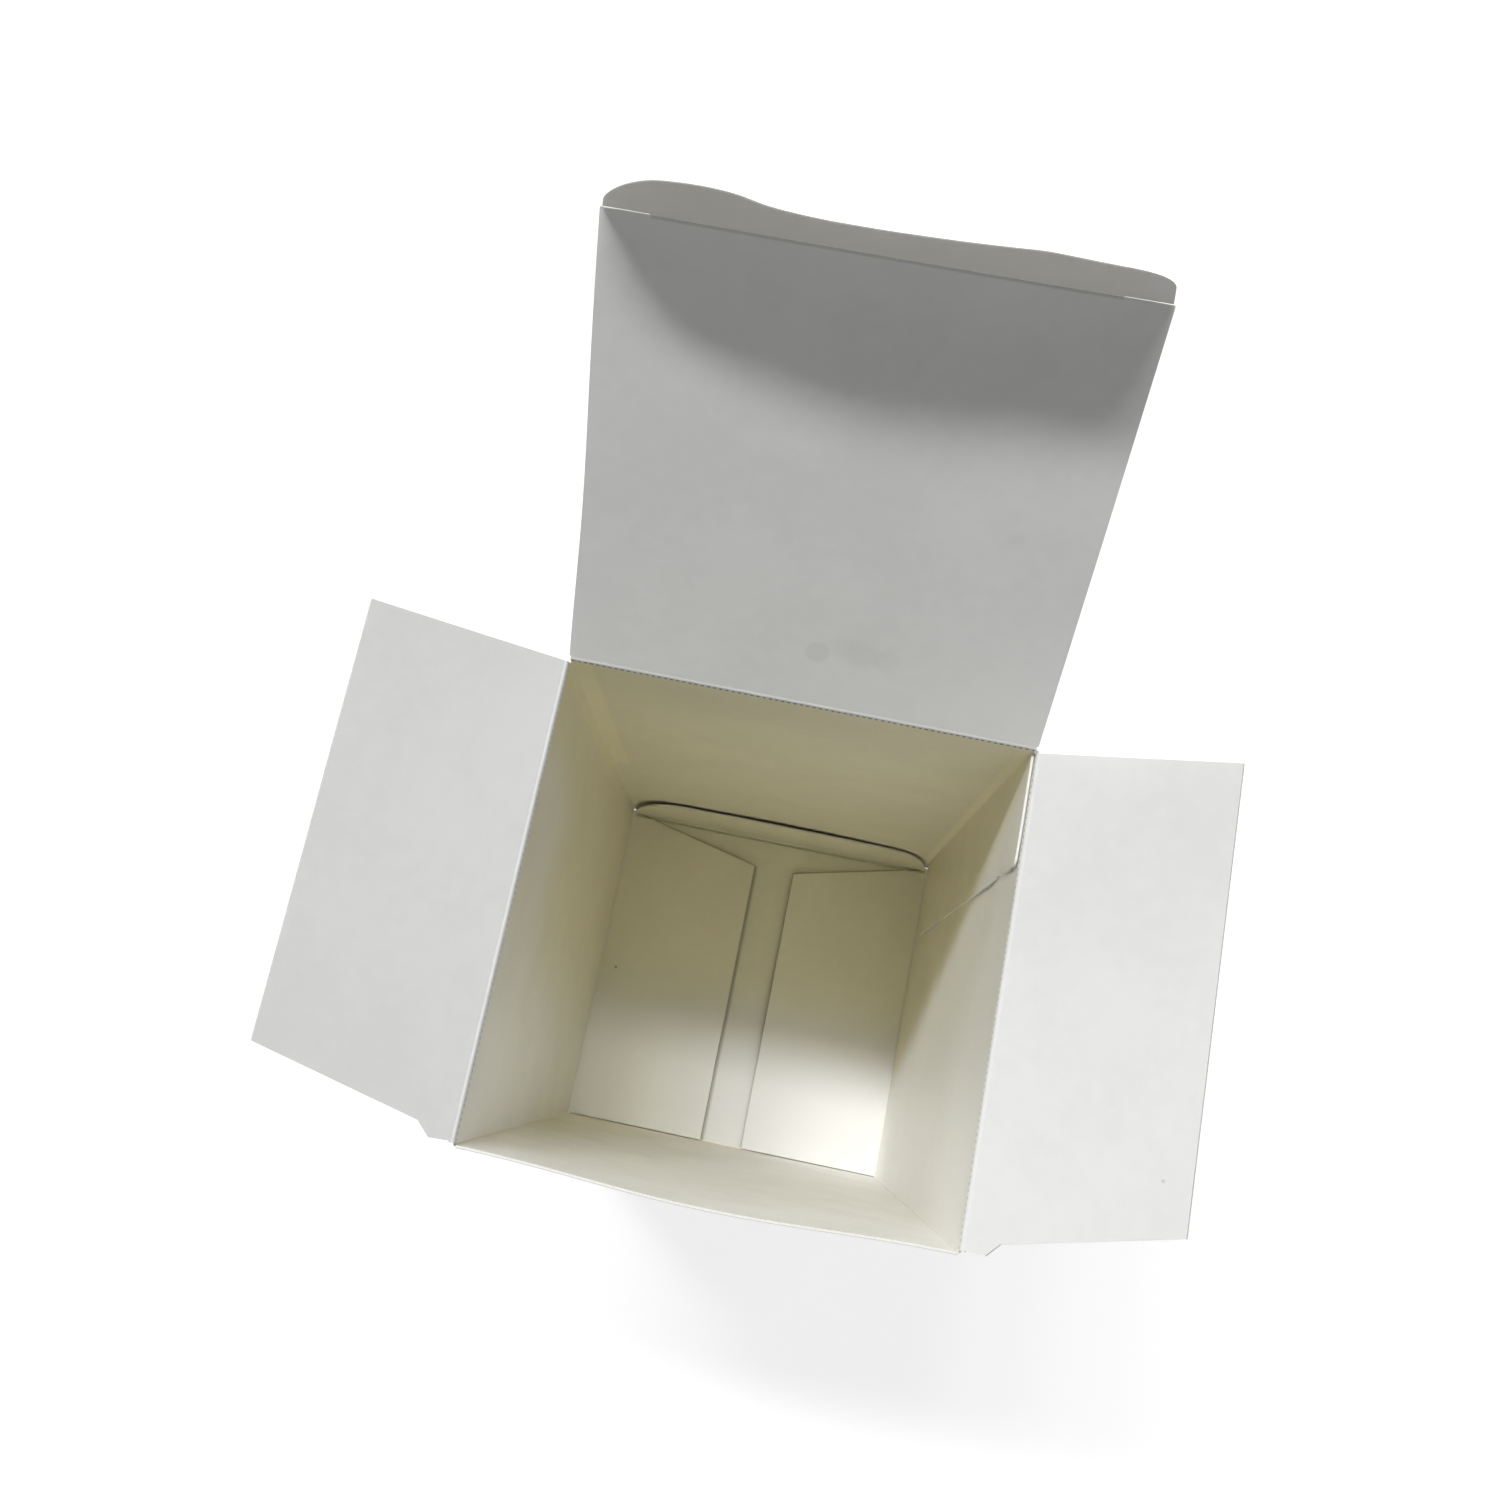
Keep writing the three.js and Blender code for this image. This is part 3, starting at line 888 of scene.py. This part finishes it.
# ------------------------------------------------------------ Top dust flaps and their creases
# Two flaps hang on the side walls and stand open. Each has a straight edge beside the lid, and at
# the front a shoulder, a notch and a taper that let the tuck lock. The left one leans out by 61
# degrees, the right one by 54.5.
# The flaps' pulp is a darker copy of the lid's, set to the stronger light on them: painted shade.
flap_pulp = pulp("flap_pulp", (0.725, 0.727, 0.712, 1), rough=0.6, marks=[
    ((-60.0, -2.8, 153.2), 0.35, 0.4, (0.35, 0.34, 0.32, 1), 0.8),
    ((56.0, -20.0, 155.0), 0.30, 0.4, (0.45, 0.44, 0.42, 1), 0.6),
    ((47.0, -4.0, 148.0), 4.5, 0.9, (0.70, 0.70, 0.69, 1), 0.10),
])


def crease_foot_painted_light(finish, place, face):
    """Painted light: below the bend, the crease is as pale as the wall, though shade falls there.
    """
    x, y, z = finish.axes(place)
    return finish.mixed(finish.step(z, 139.55, 139.25), face, (0.97, 0.955, 0.91, 1))


# Painted highlight: the pale colour of the flap creases' beads.
bead_painted_highlight = (0.76, 0.76, 0.745, 1)
left_crease_finish = creased(
    "left_flap_crease", (0.70, 0.70, 0.685, 1), (0.66, 0.66, 0.64, 1), 0.0, bead_painted_highlight, crease_foot_painted_light)
right_crease_finish = creased(
    "right_flap_crease", (0.76, 0.76, 0.735, 1), (0.62, 0.60, 0.52, 1), -0.4, bead_painted_highlight, crease_foot_painted_light)
flap_length = 30.0
shoulder_top, notch_top = 3.6, 5.5
taper_length = 24.5
beyond = 50  # past every edge of a flap


def dust_flap(name, node, place, straight, side, finishes, level, curl_up):
    """One dust flap. straight is +1 or -1, the way along x to its straight edge. side gives its
    other edge, as the distances of the shoulder, of the notch and of the taper's end from the
    flap's middle. curl_up is the lift of its free edge."""
    shoulder, notch, taper = side
    low, high = sorted((flat_half * straight, -shoulder * straight))
    piece = lay_board(name, (low, setback), (high, flap_length), 1.4, level=level)
    corner = (-notch * straight, notch_top)
    trim(piece, corner, (-straight, 1), (-beyond, shoulder_top), (beyond, notch_top))
    trim(piece, corner, (-straight * taper_length, notch - taper),
         (-beyond, notch_top), (beyond, beyond))
    seed = len(name)

    def curl(x, y, z):
        up = (y - setback) / (flap_length - setback)
        return x, y, z + 0.06 * wave(x, y, seed, 24) * up + curl_up * up * up

    form(piece, curl)
    thicken(piece, finishes)
    set_in_place(piece, place, "board_inside", node, node)


left_lean, right_lean = math.radians(61), math.radians(54.5)
left_hinge, right_hinge = (-half_width, 0, 139.3), (half_width, 0, 139.3)
left_away = (-math.sin(left_lean), 0, math.cos(left_lean))
right_away = (math.sin(right_lean), 0, math.cos(right_lean))
top_side = (34.2, 32.3, 26.1)
top_finishes = (flap_pulp, white_coat, pulp_edge)
dust_flap("left_flap_board", "left_dust_flap", placing(left_hinge, (0, 1, 0), left_away),
          1, top_side, top_finishes, board, 0.2)
dust_flap("right_flap_board", "right_dust_flap", placing(right_hinge, (0, -1, 0), right_away),
          -1, top_side, top_finishes, board, 0.2)
crease_bar("left_flap_fold", flat_half, placing(left_hinge, (0, 1, 0), (0, 0, 1)), left_lean,
           "left_dust_flap_crease", left_crease_finish,
           bead=0.10, groove=0.08)
crease_bar("right_flap_fold", flat_half, placing(right_hinge, (0, -1, 0), (0, 0, 1)), right_lean,
           "right_dust_flap_crease", right_crease_finish,
           bead=0.05, groove=0.02)


# ------------------------------------------------------------ Bottom: dust flaps, panel and tuck
# The bottom is shut: two dust flaps lie on the bottom panel, which is hinged on the front wall,
# and its tuck stands up inside the back wall. The strip of panel between the two flaps shows as a
# capital I.
def floor_painted_light(finish, place, face):
    """Painted light: the front third of the floor, where light falls, is paler, and less so
    at its left.
    """
    x, y, z = finish.axes(place)
    at_left, at_right = (0.85, 0.832, 0.735, 1), (0.815, 0.808, 0.78, 1)
    pale = finish.mixed(finish.step(x, -30.0, 4.0), at_left, at_right)
    return finish.mixed(finish.step(y, 6.0, -16.0), face, pale)


floor_pulp = pulp("floor_pulp", inside_cream, band=floor_painted_light, marks=[
    ((-31.0, -1.5, 1.1), 0.4, 0.4, (0.30, 0.27, 0.20, 1), 0.7),
])
strip_half = 4.6  # of the panel's strip between the two dust flaps
taper_foot = 27.0  # where their tapers begin, and how far these slant
taper_sine, taper_cosine = 0.2304, 0.973


def flap_shadow(finish, place, face):
    """Painted shadow on the bottom panel, in a thin line along the free edges of the two dust
    flaps: back along their tapers, and side along the strip between them."""
    x, y, z = finish.axes(place)
    out = finish.add("ShaderNodeMath", {"operation": "ABSOLUTE"}, {0: x}) - strip_half
    slant = (y - taper_foot) * taper_cosine - out * taper_sine
    back = finish.step(slant, -0.1, 0.0) * (1.0 - finish.step(slant, 0.15, 0.5))
    back = back * finish.step(out, -0.3, 0.0)
    wide = -1.1 + 0.5 * finish.step(x, -1.0, 1.0)
    side = (1.0 - finish.step(out, 0.0, 0.1)) * finish.step(out - wide, 0.0, 0.8)
    side = side * (1.0 - finish.step(y, taper_foot, 27.3))
    face = floor_painted_light(finish, place, face)
    return finish.mixed((back + side) * 0.62, face, (0.36, 0.32, 0.22, 1))


panel_pulp = pulp("bottom_panel_pulp", inside_cream, band=flap_shadow)


def tuck_foot_painted_shade(finish, place, face):
    """Painted shade: the tuck is a little darker towards its foot, where it meets the panel."""
    x, y, z = finish.axes(place)
    return finish.mixed(finish.step(z, 14.0, 0.0), face, (0.79, 0.735, 0.53, 1))


tuck_foot_pulp = pulp("bottom_tuck_pulp", inside_cream, band=tuck_foot_painted_shade)
cream_crease = creased("cream_crease", inside_cream, (0.88, 0.825, 0.60, 1), 0.1, inside_cream)
floor_crease = creased(
    "floor_crease", inside_cream, (0.84, 0.81, 0.66, 1), -1.2, (0.86, 0.84, 0.74, 1), floor_painted_light)
bottom_side = (33.1, 32.8, 27.0)
bottom_finishes = (floor_pulp, white_coat, pulp_edge)
left_foot, right_foot = (-34.6, 0, 1.1), (34.6, 0, 1.1)
quarter = math.pi / 2
dust_flap("bottom_left_flap_board", "bottom_left_dust_flap",
          placing(left_foot, (0, -1, 0), (1, 0, 0)), 1, bottom_side, bottom_finishes, 0, 1.1)
dust_flap("bottom_right_flap_board", "bottom_right_dust_flap",
          placing(right_foot, (0, 1, 0), (-1, 0, 0)), -1, bottom_side, bottom_finishes, 0, 0.8)
crease_bar("bottom_left_flap_fold", flat_half, placing(left_foot, (0, -1, 0), (0, 0, -1)),
           -quarter, "bottom_left_dust_flap_crease",
           floor_crease, bead=0.05, groove=0.03, side=-1)
crease_bar("bottom_right_flap_fold", flat_half, placing(right_foot, (0, 1, 0), (0, 0, -1)),
           -quarter, "bottom_right_dust_flap_crease",
           floor_crease, bead=0.05, groove=0.03, side=-1)

front_hinge = (0, -half_width, 0)
bottom_end = 69.15
bottom = lay_board("bottom_board", (-panel_half, setback), (panel_half, bottom_end), 2.0)
round_corner(bottom, (-33.4, 67.95), 1.2, 95, 175, 5)
round_corner(bottom, (33.4, 67.95), 1.2, 85, 5, 5)
thicken(bottom, (panel_pulp, white_coat, pulp_edge))
set_in_place(bottom, placing(front_hinge, (1, 0, 0), (0, 1, 0)), "board_inside", "bottom_panel",
             "bottom_panel")
crease_bar("bottom_fold", flat_half, placing(front_hinge, (1, 0, 0), (0, 0, -1)), -quarter,
           "bottom_crease", cream_crease, bead=0.05, groove=0.03)

foot_hinge = (0, 33.75, 0.4)
crease_bar("bottom_tuck_fold_line", slit_half, placing(foot_hinge, (1, 0, 0), (0, 1, 0)), -quarter,
           "bottom_tuck_crease", cream_crease,
           bead=0.0, groove=0.0, side=-1)
bottom_tuck = lay_board("bottom_tuck_board", (-34.2, setback), (34.2, 20.6), 1.2, level=0)
right_side = [(33.9, 1.4), (33.7, 4.2), (33.1, 7.7), (32.4, 11.0), (31.6, 13.7), (30.5, 16.4),
              (29.0, 18.6), (27.0, 19.9), (24.0, 20.6)]
trim_round(bottom_tuck, *right_side)
trim_round(bottom_tuck, *((-x, y) for x, y in reversed(right_side)))
tuck_height = 20


def against_wall(x, y, z):
    """The tuck springs back almost to the wall and bows with it. Its left end has come away a
    little."""
    bowed = (0.1 + 0.3 * (1 - (x / flat_half) ** 2)) * y / tuck_height
    loose = max(0.0, (-22 - x) / 12) ** 2
    return x, y, z - bowed + 1.3 * loose * (y / tuck_height) ** 2


form(bottom_tuck, against_wall)
thicken(bottom_tuck, (tuck_foot_pulp, white_coat, pulp_edge))
set_in_place(bottom_tuck, placing(foot_hinge, (1, 0, 0), (0, 0, 1)), "board_inside",
             "bottom_tuck", "bottom_tuck")

# ------------------------------------------------------------ The view settings
# The picture is shown as it is lit.
bpy.context.scene.view_settings.view_transform = "Standard"
